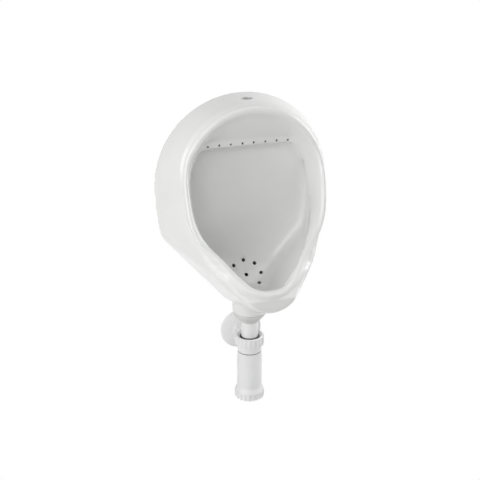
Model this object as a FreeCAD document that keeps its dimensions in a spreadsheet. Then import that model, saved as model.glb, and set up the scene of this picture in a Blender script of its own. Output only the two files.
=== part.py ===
"""Wall hung urinal with its plastic bottle trap, as a parametric document in millimetres.

Frame: the wall is the plane Y = 0 and the object stands out of it towards -Y, +Z is up, X = 0 is
the plane of symmetry, and the origin is where the waste pipe's axis meets the wall.
"""
import FreeCAD, Part
import math
import os

from FreeCAD import Placement, Rotation, Vector

doc = FreeCAD.newDocument("wall_hung_urinal")

# ---------------------------------------------------------------- driving dimensions

SIZES = [
    # china: outline on the wall
    ("wall_top", 475.0, "height of the china's top above the waste axis"),
    ("wall_half_width", 163.5, "half the china's width at the wall, radius of its top arc"),
    ("wall_side_radius", 520.0, "radius of the long side arcs"),
    ("wall_side_sweep", 9.7, "degrees that each side arc turns"),
    ("wall_corner_radius", 45.0, "radius where a side turns into the keel's slope"),
    ("wall_keel_angle", 40.7, "degrees below level of the slope's outward normal"),
    ("wall_keel_radius", 45.0, "radius of the rounded foot of the outline"),
    # china: outline far out in front, which the side walls run towards
    ("front_reach", 215.0, "distance of the front outline from the wall"),
    ("front_top", 462.0, "height of its top"),
    ("front_half_width", 86.4, "half its width"),
    ("front_side_radius", 900.0, "radius of its long side arcs"),
    ("front_side_sweep", 10.6, "degrees that each of them turns"),
    ("front_corner_radius", 124.0, "radius of its lower corners"),
    ("front_keel_angle", 38.3, "degrees below level of its lower slope's normal"),
    ("front_keel_radius", 56.6, "radius of its foot"),
    # china: the rolled lip round the mouth, seen square from the front
    ("lip_top", 467.5, "height of the lip's outer top"),
    ("lip_half_width", 131.5, "half the lip's outer width, radius of its top arc"),
    ("lip_side_radius", 395.5, "radius of its side arcs"),
    ("lip_side_sweep", 8.0, "degrees that each side arc turns"),
    ("lip_corner_radius", 115.5, "radius of its lower corners"),
    ("lip_keel_angle", 40.0, "degrees below level of the lower slope's normal"),
    ("lip_keel_radius", 90.5, "radius of its foot"),
    ("lip_width", 13.5, "width of the rolled lip"),
    ("lip_rise", 10.0, "how far the lip stands in front of the shoulder"),
    ("lip_root", 8.0, "how far the lip reaches back into the shoulder"),
    # china: the mouth's profile, seen from the side
    ("mouth_top_depth", 82.0, "distance of the lip's crest from the wall at the top"),
    ("mouth_lean_height", 397.0, "height where the crest starts to lean forward"),
    ("mouth_lean_angle", 17.0, "degrees that it leans"),
    ("mouth_lean_radius", 80.0, "radius of the turn into the lean"),
    ("mouth_flare_height", 255.0, "height where it starts to flare out"),
    ("mouth_flare_angle", 60.0, "degrees off upright at the bottom"),
    ("mouth_flare_radius", 165.6, "radius of the flare"),
    # china: walls and the inside
    ("china_wall", 14.0, "thickness of the outer wall near the mouth"),
    ("china_wall_back", 20.0, "thickness of the outer wall at the back"),
    ("throat_depth", 45.0, "distance from the wall to the throat's back edge"),
    ("throat_edge_height", 287.0, "height where that edge starts to run forward"),
    ("throat_edge_angle", 48.0, "degrees off upright of its run"),
    ("ledge_height", 398.0, "height of the top of the flush ledge"),
    ("ledge_band", 12.0, "height of the ledge's upright band"),
    ("ledge_half_width", 62.0, "half the length of the ledge"),
    ("ledge_corner_radius", 37.5, "radius of the ledge's ends"),
    ("throat_side_bulge", 1.2, "bow of the throat edge's upper sides"),
    ("roof_half_width", 70.0, "half the straight part of the bowl's roof"),
    ("roof_corner_radius", 29.5, "radius of the roof's ends"),
    ("roof_fall", 60.0, "how far the undercut's upper sides slant down to full width"),
    ("throat_edge_length", 175.0, "length of the throat edge's run forward"),
    ("slope_reach", 36.0, "length of the slope in front of the drain"),
    ("floor_rise", 20.0, "degrees that the floor rises in front of that slope"),
    ("floor_length", 130.0, "length of that floor"),
    ("bowl_radius", 14.0, "rounding between the bowl's back, slope and floor and its sides"),
    ("crown_share", 52.0, "degrees above level where the lip's crown meets its shoulders"),
    ("throat_narrowing", 4.0, "how much narrower each side is at the throat's back edge"),
    ("drain_depth", 36.0, "distance of the drain's centre from the wall"),
    ("drain_height", 130.5, "height of the drain's centre"),
    ("drain_slope", 43.0, "degrees off level of the slope that the drain lies in"),
    ("slope_bend_radius", 40.0, "radius between the back and that slope"),
    ("drain_hole", 7.0, "diameter of a drain hole"),
    ("drain_ring_radius", 29.0, "radius of the ring of holes"),
    ("drain_ring_count", 8.0, "holes in the ring, beside the one in its centre"),
    ("drain_plate", 7.0, "thickness of the pierced slope"),
    ("sump_radius", 35.0, "radius of the chamber behind the drain"),
    ("jet_hole", 3.0, "diameter of a flush jet"),
    ("jet_spacing", 21.4, "distance between jets"),
    ("jet_count", 8.0, "jets along the ledge"),
    ("jet_angle", 40.0, "degrees that a jet points down"),
    ("chamber_wall", 14.0, "thickness of the china round the flush chamber"),
    ("chamber_half_width", 80.0, "half the chamber's width"),
    ("chamber_floor", 396.0, "height of its floor"),
    ("chamber_roof", 458.0, "height of its roof"),
    ("chamber_bevel", 12.0, "height of its upright front above the slope"),
    ("chamber_floor_depth", 34.0, "distance of its floor's front edge from the wall"),
    ("chamber_roof_depth", 58.0, "distance of its roof's front edge from the wall"),
    ("inlet_hole", 20.0, "diameter of the water inlet"),
    ("inlet_depth", 36.0, "distance of the inlet from the wall"),
    ("socket_depth", 58.0, "distance of the waste socket's axis from the wall"),
    ("socket_radius", 33.0, "outer radius of the waste socket"),
    ("socket_bore", 40.0, "bore of the waste socket"),
    ("socket_foot", 66.0, "height of the socket's lower end"),
    ("socket_top", 98.0, "height of the socket's upper end, inside the china"),
    ("socket_edge", 2.0, "chamfer of the socket's lower edge"),
    ("sump_back", 8.0, "china left behind that chamber"),
    ("sump_depth", 28.0, "distance of the sump's floor under the slope"),
    ("back_wall", 14.0, "thickness of the china's back"),
    ("chin_depth", 194.0, "distance of the china's chin from the wall"),
    ("crease_radius", 6.0, "rounding of the shoulder outside the lip and of the chin"),
    ("lip_round", 6.6, "rounding of the lip's two front edges"),
    # hangers on the wall
    ("hanger_spacing", 208.0, "distance between the two hangers"),
    ("hanger_width", 28.0, "width of a hanger plate"),
    ("hanger_thickness", 3.0, "thickness of the hanger steel"),
    ("hanger_top", 411.0, "height of the tongue's upper side"),
    ("hanger_length", 66.0, "height of a hanger plate"),
    ("tongue_reach", 16.0, "distance of the tongue's end from the wall"),
    ("tongue_lip", 5.0, "height of its turned up end"),
    ("liner_thickness", 1.5, "thickness of the plastic liner on the tongue"),
    ("screw_hole", 6.5, "diameter of a wall screw's hole"),
    ("screw_upper", 395.0, "height of the upper screw holes"),
    ("screw_pitch", 34.0, "distance between a plate's two holes"),
    ("recess_depth", 4.0, "depth of the recess for the plate"),
    ("pocket_floor", 392.0, "height of the floor of the tongue's pocket"),
    ("hanger_gap", 0.25, "gap between a hanger and the china beside it"),
    # rubber sleeve between the china's socket and the trap
    ("sleeve_top", 78.0, "height of the sleeve's upper end"),
    ("sleeve_foot", 46.0, "height of its lower end"),
    ("sleeve_lip", 1.6, "wall of the sleeve at its lower end"),
    ("sleeve_rim", 4.0, "height of its rim under the socket"),
    # trap
    ("trap_depth", 58.0, "distance of the bottle's axis from the wall"),
    ("pipe_radius", 16.0, "outer radius of the waste pipes"),
    ("pipe_wall", 2.0, "wall of the waste pipes"),
    ("tail_top", 79.0, "height of its upper end"),
    ("tail_foot", -3.0, "height of its lower end, inside the head"),
    ("head_top", 15.0, "height of the trap head's top"),
    ("head_foot", -17.0, "height of the head's lower edge"),
    ("head_band_foot", -4.0, "height of the ribbed band's lower edge"),
    ("head_band_radius", 27.5, "radius over the ribs"),
    ("head_neck_radius", 23.2, "radius of the plain part under the band"),
    ("head_skirt_bore", 43.4, "bore that takes the bottle's neck"),
    ("rib_depth", 1.4, "height of a rib"),
    ("rib_count", 20.0, "ribs round the head and round the cap"),
    ("chamber_top", 3.0, "height of the deck over the head's chamber"),
    ("seal_foot", 5.0, "height of the inlet seal's groove"),
    ("seal_height", 6.0, "height of that groove"),
    ("seal_radius", 19.5, "radius of that groove"),
    ("branch_radius", 14.8, "outer radius of the side branch"),
    ("branch_thread_radius", 18.5, "radius of its threaded end"),
    ("branch_reach", 22.0, "distance of the branch's end from the wall"),
    ("branch_length", 11.0, "length of its threaded end"),
    ("branch_bore", 12.5, "radius of the waterway in the branch"),
    ("head_wall", 2.4, "wall of the head"),
    ("head_top_dish", 3.0, "depth of the dish in its top"),
    ("collar_drop", 8.0, "depth of the collar that holds the dip tube's cup"),
    ("bottle_radius", 24.0, "outer radius of the bottle"),
    ("bottle_wall", 2.2, "wall of the bottle"),
    ("bottle_shoulder", -30.0, "height where the bottle reaches its full width"),
    ("bottle_ledge", -19.0, "height of the ledge under its seal"),
    ("neck_radius", 21.0, "outer radius of the bottle's neck"),
    ("neck_top", -8.0, "height of the neck's end"),
    ("collar_top", -95.0, "height where the bottle starts to flare"),
    ("collar_foot", -105.0, "height of the collar's lower side"),
    ("cap_radius", 28.5, "radius of the cap over its ribs"),
    ("cap_foot", -118.5, "height of the cap's bottom"),
    ("cap_floor", 3.0, "thickness of the cap's floor"),
    ("cap_neck_radius", 25.0, "outer radius of the bottle's threaded end"),
    ("spigot_foot", -113.0, "height of the bottle's open end, inside the cap"),
    ("dip_radius", 13.0, "outer radius of the dip tube"),
    ("dip_foot", -82.0, "height of its open end"),
    ("dip_cup_radius", 18.0, "outer radius of its cup"),
    ("dip_wall", 1.5, "wall of the dip tube"),
    ("dip_cup_foot", -10.0, "height of the cup's lower edge"),
    ("dip_funnel_foot", -17.0, "height where the funnel ends in the tube"),
    ("nut_radius", 22.0, "radius of the outlet nut over its ribs"),
    ("nut_length", 14.0, "length of the outlet nut"),
    ("nut_back", 16.0, "distance of the nut's outer face from the wall"),
    ("nut_rib_count", 16.0, "ribs round the nut"),
    ("nut_flange", 2.0, "thickness of the nut's end wall"),
    ("friction_ring", 0.9, "thickness of the friction ring"),
    ("cone_seal", 2.5, "length of the outlet's cone seal"),
    ("rosette_radius", 41.0, "radius of the wall rosette"),
    ("rosette_height", 9.0, "how far it stands off the wall"),
    ("rosette_edge", 2.5, "height of its rim"),
    ("rosette_wall", 1.6, "thickness of its shell"),
    ("rosette_collar", 18.5, "outer radius of its collar round the pipe"),
    ("collar_height", 2.0, "height of that collar"),
    ("spigot_radius", 15.5, "radius of the pipe's end inside the wall"),
    ("spigot_reach", 30.0, "how far that end goes into the wall"),
    ("spigot_start", 2.0, "how far in front of the wall that end begins"),
    ("running_gap", 0.08, "radial gap of pieces that slide or turn on each other"),
    ("free_gap", 0.3, "gap between pieces that move past each other"),
    ("fitted_gap", 0.05, "radial gap of rubber fitted on a pipe or in a bore"),
]

sheet = doc.addObject("Spreadsheet::Sheet", "sizes")
for row, (alias, amount, meaning) in enumerate(SIZES, start=1):
    sheet.set("A%d" % row, alias)
    sheet.set("B%d" % row, str(amount))
    sheet.set("C%d" % row, meaning)
    sheet.setAlias("B%d" % row, alias)
doc.recompute()


def size(alias):
    """The value of a named cell."""
    return float(sheet.get(alias))


def level(angle):
    """Unit vector in a sketch at an angle in degrees above its level axis."""
    return Vector(math.cos(math.radians(angle)), math.sin(math.radians(angle)), 0)


# ---------------------------------------------------------------- helpers for the document

PARTS = []


def new_body(label):
    """A PartDesign body."""
    body = doc.addObject("PartDesign::Body", label)
    body.Label = label
    return body


def origin_plane(body, role):
    """One of the body's own origin planes."""
    return next(item for item in body.Origin.OriginFeatures if item.Role == role)


def new_sketch(body, role, name, offset="0", edges=()):
    """A sketch on an origin plane of its body, moved along its normal, holding closed edges."""
    sketch = body.newObject("Sketcher::SketchObject", name)
    sketch.AttachmentSupport = [(origin_plane(body, role), "")]
    sketch.MapMode = "FlatFace"
    sketch.setExpression(".AttachmentOffset.Base.z", offset)
    for edge in edges:
        sketch.addGeometry(edge, False)
    return sketch


def polygon(points):
    """Line edges round a list of (x, y) corners."""
    corners = [Vector(x, y, 0) for x, y in points]
    return [Part.LineSegment(corners[i], corners[(i + 1) % len(corners)])
            for i in range(len(corners))]


def arc(start, middle, end):
    """A circular arc through three points."""
    return Part.Arc(start, middle, end)


def boolean(kind, label, base, tool):
    """A Part::Cut, Part::Fuse or Part::Common of two objects."""
    item = doc.addObject("Part::" + kind, label)
    item.Label = label
    item.Base = base
    item.Tool = tool
    item.Refine = True
    return item


def deliver(item):
    """Marks an object as one of the sub-parts."""
    PARTS.append(item)
    return item


# ---------------------------------------------------------------- outlines of the china

def outline(family, inset=0.0):
    """Closed shield outline: top arc, side arcs, lower corners, straight keel slopes and foot.

    Every arc keeps its centre when the outline is inset, so inset outlines run parallel.
    """
    top = size(family + "_top")
    width = size(family + "_half_width")
    side = size(family + "_side_radius")
    sweep = size(family + "_side_sweep")
    corner = size(family + "_corner_radius")
    keel = size(family + "_keel_angle")
    foot = size(family + "_keel_radius")
    middle = Vector(0, top - width, 0)
    side_centre = middle + Vector(width - side, 0, 0)
    corner_centre = side_centre + level(-sweep) * (side - corner)
    normal = level(-keel)
    foot_centre = Vector(0, (normal.dot(corner_centre) + corner - foot) / normal.y, 0)

    def on(centre, radius, angle):
        return centre + level(angle) * (radius - inset)

    def mirrored(point):
        return Vector(-point.x, point.y, 0)

    crown = on(middle, width, 90)
    widest = on(middle, width, 0)
    side_middle = on(side_centre, side, -sweep / 2)
    side_end = on(side_centre, side, -sweep)
    corner_middle = on(corner_centre, corner, -(sweep + keel) / 2)
    corner_end = on(corner_centre, corner, -keel)
    foot_start = on(foot_centre, foot, -keel)
    foot_middle = on(foot_centre, foot, -90)
    return [
        arc(mirrored(widest), crown, widest),
        arc(widest, side_middle, side_end),
        arc(side_end, corner_middle, corner_end),
        Part.LineSegment(corner_end, foot_start),
        arc(foot_start, foot_middle, mirrored(foot_start)),
        Part.LineSegment(mirrored(foot_start), mirrored(corner_end)),
        arc(mirrored(corner_end), mirrored(corner_middle), mirrored(side_end)),
        arc(mirrored(side_end), mirrored(side_middle), mirrored(widest)),
    ]


def mirrored(point):
    """The point's mirror image in a sketch's upright axis."""
    return Vector(-point.x, point.y, 0)


def mouth_outline():
    """The lip's inner outline with its top arc cut in three, to meet the ledge's corners."""
    inset = size("lip_width")
    radius = size("lip_half_width") - inset
    centre = Vector(0, size("lip_top") - size("lip_half_width"), 0)
    crown = centre + level(90) * radius
    right = centre + level(size("crown_share")) * radius
    right_middle = centre + level(size("crown_share") / 2) * radius
    widest = centre + level(0) * radius
    return [
        arc(mirrored(right), crown, right),
        arc(right, right_middle, widest),
    ] + outline("lip", inset)[1:] + [
        arc(mirrored(widest), mirrored(right_middle), mirrored(right)),
    ]


def throat_outline():
    """The throat's back edge: a straight ledge with round ends over the lower shield outline."""
    lower = outline("lip", size("lip_width") + size("throat_narrowing"))
    half, radius, top = size("ledge_half_width"), size("ledge_corner_radius"), size("ledge_height")
    corner = Vector(half, top - radius, 0)
    ledge_end = Vector(half, top, 0)
    corner_middle = corner + level(45) * radius
    side_start = corner + level(0) * radius
    side_end = end_point(lower[1])
    bulge = (side_start + side_end) * 0.5 + Vector(size("throat_side_bulge"), 0, 0)
    return [
        Part.LineSegment(mirrored(ledge_end), ledge_end),
        arc(ledge_end, corner_middle, side_start),
        arc(side_start, bulge, side_end),
    ] + lower[2:7] + [
        arc(mirrored(side_end), mirrored(bulge), mirrored(side_start)),
        arc(mirrored(side_start), mirrored(corner_middle), mirrored(ledge_end)),
    ]


def start_point(edge):
    """Where a line segment or an arc starts."""
    return edge.value(edge.FirstParameter)


def end_point(edge):
    """Where a line segment or an arc ends."""
    return edge.value(edge.LastParameter)


def cavity_front():
    """The undercut bowl seen from the front: a roof with round ends whose sides slant outwards."""
    half, radius = size("roof_half_width"), size("roof_corner_radius")
    roof = size("ledge_height") - size("ledge_band")
    corner = Vector(half, roof - radius, 0)
    roof_end = Vector(half, roof, 0)
    roof_middle = corner + level(45) * radius
    side = corner + level(0) * radius
    right = [Vector(BESIDE, side.y - size("roof_fall"), 0), Vector(BESIDE, LOW, 0)]
    corners = [side] + right + [mirrored(point) for point in reversed([side] + right)]
    lines = [Part.LineSegment(corners[i], corners[i + 1]) for i in range(len(corners) - 1)]
    return [
        Part.LineSegment(mirrored(roof_end), roof_end),
        arc(roof_end, roof_middle, side),
    ] + lines + [arc(mirrored(side), mirrored(roof_middle), mirrored(roof_end))]


# ---------------------------------------------------------------- side profiles of the china

HIGH, LOW, FAR, BESIDE = 560.0, 20.0, 420.0, 170.0


def rim_profile(back):
    """The mouth's side profile from top to bottom, moved towards the wall by a distance.

    It runs down, leans forward and then flares out in two arcs; sketch x is the world's Y.
    """
    depth, start = size("mouth_top_depth"), size("mouth_lean_height")
    lean, lean_radius = size("mouth_lean_angle"), size("mouth_lean_radius")
    flare, flare_radius = size("mouth_flare_angle"), size("mouth_flare_radius")
    lean_centre = Vector(-depth - lean_radius, start, 0)
    down = level(-90 - lean)
    lean_start = lean_centre + level(-lean) * lean_radius
    lean_end = lean_start + down * ((lean_start.y - size("mouth_flare_height")) / -down.y)
    flare_centre = lean_end - level(-lean) * flare_radius
    out = level(-90 - flare)

    def on_lean(angle):
        return lean_centre + level(-angle) * (lean_radius + back)

    def on_flare(angle):
        return flare_centre + level(-angle) * (flare_radius + back)

    foot = on_flare(flare) + out * ((on_flare(flare).y - LOW) / -out.y)
    return [
        Part.LineSegment(Vector(back - depth, HIGH, 0), on_lean(0)),
        arc(on_lean(0), on_lean(lean / 2), on_lean(lean)),
        Part.LineSegment(on_lean(lean), on_flare(lean)),
        arc(on_flare(lean), on_flare((lean + flare) / 2), on_flare(flare)),
        Part.LineSegment(on_flare(flare), foot),
    ]


def closed_through(edges, corners):
    """An open run of edges closed through further corners."""
    points = [end_point(edges[-1])] + [Vector(x, y, 0) for x, y in corners]
    points.append(start_point(edges[0]))
    return edges + [Part.LineSegment(points[i], points[i + 1]) for i in range(len(points) - 1)]


def cavity_side():
    """The undercut seen from the side: roof, back, bend, drain slope, floor and throat edge."""
    back = -size("back_wall")
    roof = size("ledge_height") - size("ledge_band")
    slope, radius = size("drain_slope"), size("slope_bend_radius")
    drain = Vector(-size("drain_depth"), size("drain_height"), 0)
    normal = level(90 + slope)
    reach = back - radius
    centre = Vector(reach, drain.y + (radius - (reach - drain.x) * normal.x) / normal.y, 0)
    bend_start = centre + level(0) * radius
    bend_end = centre - normal * radius
    bend_middle = centre + level((slope - 90) / 2) * radius
    slope_end = drain + level(180 + slope) * size("slope_reach")
    floor_end = slope_end + level(180 - size("floor_rise")) * size("floor_length")
    edge_start = Vector(-size("throat_depth"), size("throat_edge_height"), 0)
    edge_end = edge_start + level(-90 - size("throat_edge_angle")) * size("throat_edge_length")
    corners = [bend_end, slope_end, floor_end, edge_end, edge_start,
               Vector(edge_start.x, roof, 0), Vector(back, roof, 0), bend_start]
    lines = [Part.LineSegment(corners[i], corners[i + 1]) for i in range(len(corners) - 1)]
    return [arc(bend_start, bend_middle, bend_end)] + lines


# ---------------------------------------------------------------- solids from outlines

def padded(label, role, edges, length, offset="0", symmetric=False):
    """A body that holds one outline padded along its plane's normal."""
    body = new_body(label)
    add_pad(body, label + "_pad", role, edges, length, offset, symmetric)
    return body


def add_pad(body, name, role, edges, length, offset="0", symmetric=False):
    """Adds a pad of an outline to a body."""
    pad = body.newObject("PartDesign::Pad", name)
    pad.Profile = new_sketch(body, role, name + "_outline", offset, edges)
    if symmetric:
        pad.SideType = "Symmetric"
    pad.setExpression("Length", length)
    body.Tip = pad
    return pad


def add_pocket(body, name, role, edges, length, offset="0", symmetric=False, flipped=False):
    """Cuts an outline out of a body, against its plane's normal unless it is flipped."""
    pocket = body.newObject("PartDesign::Pocket", name)
    pocket.Profile = new_sketch(body, role, name + "_outline", offset, edges)
    if symmetric:
        pocket.SideType = "Symmetric"
    pocket.Reversed = flipped
    pocket.setExpression("Length", length)
    body.Tip = pocket
    return pocket


def lofted(label, near, far, near_offset, far_offset):
    """A body with straight walls between two outlines parallel to the wall."""
    body = new_body(label)
    loft = body.newObject("PartDesign::AdditiveLoft", label + "_loft")
    loft.Profile = new_sketch(body, "XZ_Plane", label + "_back", near_offset, near)
    loft.Sections = [new_sketch(body, "XZ_Plane", label + "_front", far_offset, far)]
    loft.Ruled = True
    body.Tip = loft
    return body


def add_fillet(body, name, edges, radius):
    """Rounds some edges of a body's last feature."""
    base = body.Tip
    fillet = body.newObject("PartDesign::Fillet", name)
    fillet.Base = (base, edges)
    fillet.setExpression("Radius", radius)
    body.Tip = fillet
    return fillet


def edge_names(item, test):
    """Names of the edges of an object's shape that pass a test."""
    return ["Edge%d" % number for number, edge in enumerate(item.Shape.Edges, start=1)
            if test(edge)]


def lies_on(edges, skipped=()):
    """A test for a shape's edges that lie on curves of the side view, and not on skipped points."""
    curves = [edge.toShape() for edge in edges]

    def test(edge):
        span = edge.LastParameter - edge.FirstParameter
        spots = [edge.valueAt(edge.FirstParameter + share * span) for share in (0.2, 0.5, 0.8)]
        flat = [Vector(spot.y, spot.z, 0) for spot in spots]
        if any(all((spot - point).Length < 0.1 for spot in flat) for point in skipped):
            return False
        return all(min(curve.distToShape(Part.Vertex(spot))[0] for curve in curves) < 0.02
                   for spot in flat)
    return test


def on_rim(back):
    """A test for edges that lie on the mouth's side profile moved back by a distance."""
    return lies_on(rim_profile(back))


def on_bowl():
    """A test for the undercut's edges between its back, slope or floor and its sides or roof."""
    bend, slope, floor, back = [cavity_side()[index] for index in (0, 1, 2, -1)]
    return lies_on([bend, slope, floor, back],
                   [start_point(bend), end_point(bend), end_point(floor)])


def revolved(label, points, depth="0"):
    """A body turned round its own Z axis from (radius, height) corners, moved out of the wall."""
    body = new_body(label)
    turn = body.newObject("PartDesign::Revolution", label + "_turn")
    sketch = new_sketch(body, "XZ_Plane", label + "_profile", "0", polygon(points))
    turn.Profile = sketch
    turn.ReferenceAxis = (sketch, ["V_Axis"])
    turn.Angle = 360
    body.Tip = turn
    body.setExpression(".Placement.Base.y", "-(%s)" % depth)
    return body


def hollowed(body, name, points):
    """Turns a hollow out of a round body from (radius, height) corners."""
    groove = body.newObject("PartDesign::Groove", name)
    sketch = new_sketch(body, "XZ_Plane", name + "_profile", "0", polygon(points))
    groove.Profile = sketch
    groove.ReferenceAxis = (sketch, ["V_Axis"])
    groove.Angle = 360
    body.Tip = groove
    return groove


def bounds_shoulder(edge):
    """Whether an edge runs round the china's shoulder or chin, unlike the shoulder's seams."""
    middle = edge.valueAt((edge.FirstParameter + edge.LastParameter) / 2)
    if abs(middle.y + size("chin_depth")) < 0.001:
        return True
    return edge.Curve.TypeId != "Part::GeomLine" and on_rim(size("lip_rise"))(edge)


# ---------------------------------------------------------------- china

ACROSS = "600"

outside = lofted("china_outside", outline("wall"), outline("front"), "0", "sizes.front_reach")
add_pocket(outside, "china_shoulder", "YZ_Plane",
           closed_through(rim_profile(size("lip_rise")), [(-FAR, LOW), (-FAR, HIGH)]),
           ACROSS, symmetric=True)

chin = -size("chin_depth")
add_pocket(outside, "china_chin", "YZ_Plane",
           polygon([(chin, LOW), (chin, HIGH), (-FAR, HIGH), (-FAR, LOW)]), ACROSS, symmetric=True)
doc.recompute()
add_fillet(outside, "china_crease", edge_names(outside.Tip, bounds_shoulder), "sizes.crease_radius")

lip = padded("china_lip", "XZ_Plane", outline("lip") + outline("lip", size("lip_width")),
             "sizes.front_reach + 60")
add_pocket(lip, "lip_front", "YZ_Plane",
           closed_through(rim_profile(0), [(-FAR, LOW), (-FAR, HIGH)]), ACROSS, symmetric=True)
add_pocket(lip, "lip_back", "YZ_Plane",
           closed_through(rim_profile(size("lip_rise") + size("lip_root")),
                          [(FAR, LOW), (FAR, HIGH)]), ACROSS, symmetric=True)
doc.recompute()
add_fillet(lip, "lip_rounding", edge_names(lip.Tip, on_rim(0)), "sizes.lip_round")
doc.recompute()
throat = lofted("throat", throat_outline(), mouth_outline(), "sizes.throat_depth",
                "sizes.mouth_top_depth - sizes.lip_rise")
add_pad(throat, "throat_mouth", "XZ_Plane", outline("lip", size("lip_width")), "400",
        "sizes.mouth_top_depth - sizes.lip_rise")

shell = lofted("shell_inside", outline("wall", size("china_wall_back")),
               outline("front", size("china_wall")), "0", "sizes.front_reach")
sides = padded("cavity_side", "YZ_Plane", cavity_side(), ACROSS, symmetric=True)
front = padded("cavity_front", "XZ_Plane", cavity_front(), "400", "-50")

chamber_side = padded(
    "chamber_side", "YZ_Plane",
    polygon([(-size("back_wall"), size("chamber_floor")),
             (-size("chamber_floor_depth"), size("chamber_floor")),
             (-size("chamber_roof_depth"), size("chamber_roof") - size("chamber_bevel")),
             (-size("chamber_roof_depth"), size("chamber_roof")),
             (-size("back_wall"), size("chamber_roof"))]),
    "2 * sizes.chamber_half_width", symmetric=True)
chamber_shell = lofted("chamber_shell", outline("wall", size("chamber_wall")),
                       outline("front", size("chamber_wall")), "0", "sizes.front_reach")

socket_outer, socket_foot, socket_top = size("socket_radius"), size("socket_foot"), size("socket_top")
socket_edge = size("socket_edge")
spigot = revolved("waste_socket", [
    (0, socket_foot), (socket_outer - socket_edge, socket_foot),
    (socket_outer, socket_foot + socket_edge), (socket_outer, socket_top), (0, socket_top)],
    "sizes.socket_depth")
socket = padded("socket_bore", "XY_Plane",
                [Part.Circle(Vector(0, -size("socket_depth"), 0), Vector(0, 0, 1),
                             size("socket_bore") / 2)],
                "sizes.drain_height - sizes.socket_foot", "sizes.socket_foot - 10")
inlet = padded("inlet_bore", "XY_Plane",
               [Part.Circle(Vector(0, -size("inlet_depth"), 0), Vector(0, 0, 1),
                            size("inlet_hole") / 2)],
               "sizes.wall_top - sizes.chamber_roof + 20", "sizes.chamber_roof - 5")


def tilted(label, edges, length, start, place, turn):
    """A body padded upwards from its own XY plane, then turned about X and moved."""
    body = padded(label, "XY_Plane", edges, length, start)
    body.Placement = Placement(place, Rotation(Vector(1, 0, 0), turn))
    return body


def ring_of(body, count):
    """Repeats a body's last feature round its own Z axis, starting at its own Y axis."""
    pattern = body.newObject("PartDesign::PolarPattern", body.Label + "_ring")
    pattern.Originals = [body.Tip]
    pattern.Axis = (origin_axis(body, "Z_Axis"), [""])
    pattern.Angle = 360
    pattern.setExpression("Occurrences", count)
    body.Tip = pattern
    return pattern


def origin_axis(body, role):
    """One of the body's own origin axes."""
    return next(item for item in body.Origin.OriginFeatures if item.Role == role)


drain_place = Vector(0, -size("drain_depth"), size("drain_height"))
drain = tilted("drain_holes", [Part.Circle(Vector(0, 0, 0), Vector(0, 0, 1),
                                           size("drain_hole") / 2)],
               "sizes.drain_plate + 30", "-sizes.drain_plate - 5", drain_place,
               size("drain_slope"))
add_pad(drain, "drain_hole", "XY_Plane",
        [Part.Circle(Vector(0, size("drain_ring_radius"), 0), Vector(0, 0, 1),
                     size("drain_hole") / 2)],
        "sizes.drain_plate + 30", "-sizes.drain_plate - 5")
ring_of(drain, "sizes.drain_ring_count")

sump_round = tilted("sump_round", [Part.Circle(Vector(0, 0, 0), Vector(0, 0, 1),
                                               size("sump_radius"))],
                    "sizes.sump_depth - sizes.drain_plate", "-sizes.sump_depth", drain_place,
                    size("drain_slope"))
below_plate = tilted("below_drain_plate", [Part.Circle(Vector(0, 0, 0), Vector(0, 0, 1),
                                                       3 * size("sump_radius"))],
                     "4 * sizes.sump_radius - sizes.drain_plate", "-4 * sizes.sump_radius",
                     drain_place, size("drain_slope"))
sump_limit = doc.addObject("Part::Box", "sump_limit")
sump_limit.setExpression("Length", "4 * sizes.sump_radius")
sump_limit.Width = 200
sump_limit.Height = 300
sump_limit.setExpression(".Placement.Base.x", "-2 * sizes.sump_radius")
sump_limit.setExpression(".Placement.Base.y", "-200 - sizes.sump_back")

jets = tilted("flush_jets", [Part.Circle(Vector(0, 0, 0), Vector(0, 0, 1), size("jet_hole") / 2)],
              "40", "-20",
              Vector(-size("jet_spacing") * (size("jet_count") - 1) / 2, -size("throat_depth"),
                     size("ledge_height") - size("ledge_band") / 2),
              size("jet_angle") - 90)
jet_row = jets.newObject("PartDesign::LinearPattern", "flush_jet_row")
jet_row.Originals = [jets.Tip]
jet_row.Direction = (origin_axis(jets, "X_Axis"), [""])
jet_row.setExpression("Length", "sizes.jet_spacing * (sizes.jet_count - 1)")
jet_row.setExpression("Occurrences", "sizes.jet_count")
jets.Tip = jet_row


def hanger_pocket(label, side):
    """The recess in the china's back that one hanger's plate and tongue stand in."""
    gap, liner = size("hanger_gap"), size("liner_thickness")
    roof = size("hanger_top") + liner
    foot = size("hanger_top") - size("hanger_length") - gap
    lip_front = size("tongue_reach") - size("hanger_thickness") - liner - gap
    lip_back = size("tongue_reach") + liner + gap
    corners = [(2, foot), (2, roof), (-lip_front, roof),
               (-lip_front, roof + size("tongue_lip") + gap),
               (-lip_back, roof + size("tongue_lip") + gap),
               (-lip_back, size("pocket_floor")), (-size("recess_depth"), size("pocket_floor")),
               (-size("recess_depth"), foot)]
    return padded(label, "YZ_Plane", polygon(corners), "sizes.hanger_width + 2 * sizes.hanger_gap",
                  "%d * sizes.hanger_spacing / 2" % side, symmetric=True)


def common(label, items):
    """What several objects share."""
    shared = doc.addObject("Part::MultiCommon", label)
    shared.Shapes = items
    return shared


def together(label, items):
    """Several objects as one."""
    fused = doc.addObject("Part::MultiFuse", label)
    fused.Shapes = items
    fused.Refine = True
    return fused


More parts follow.
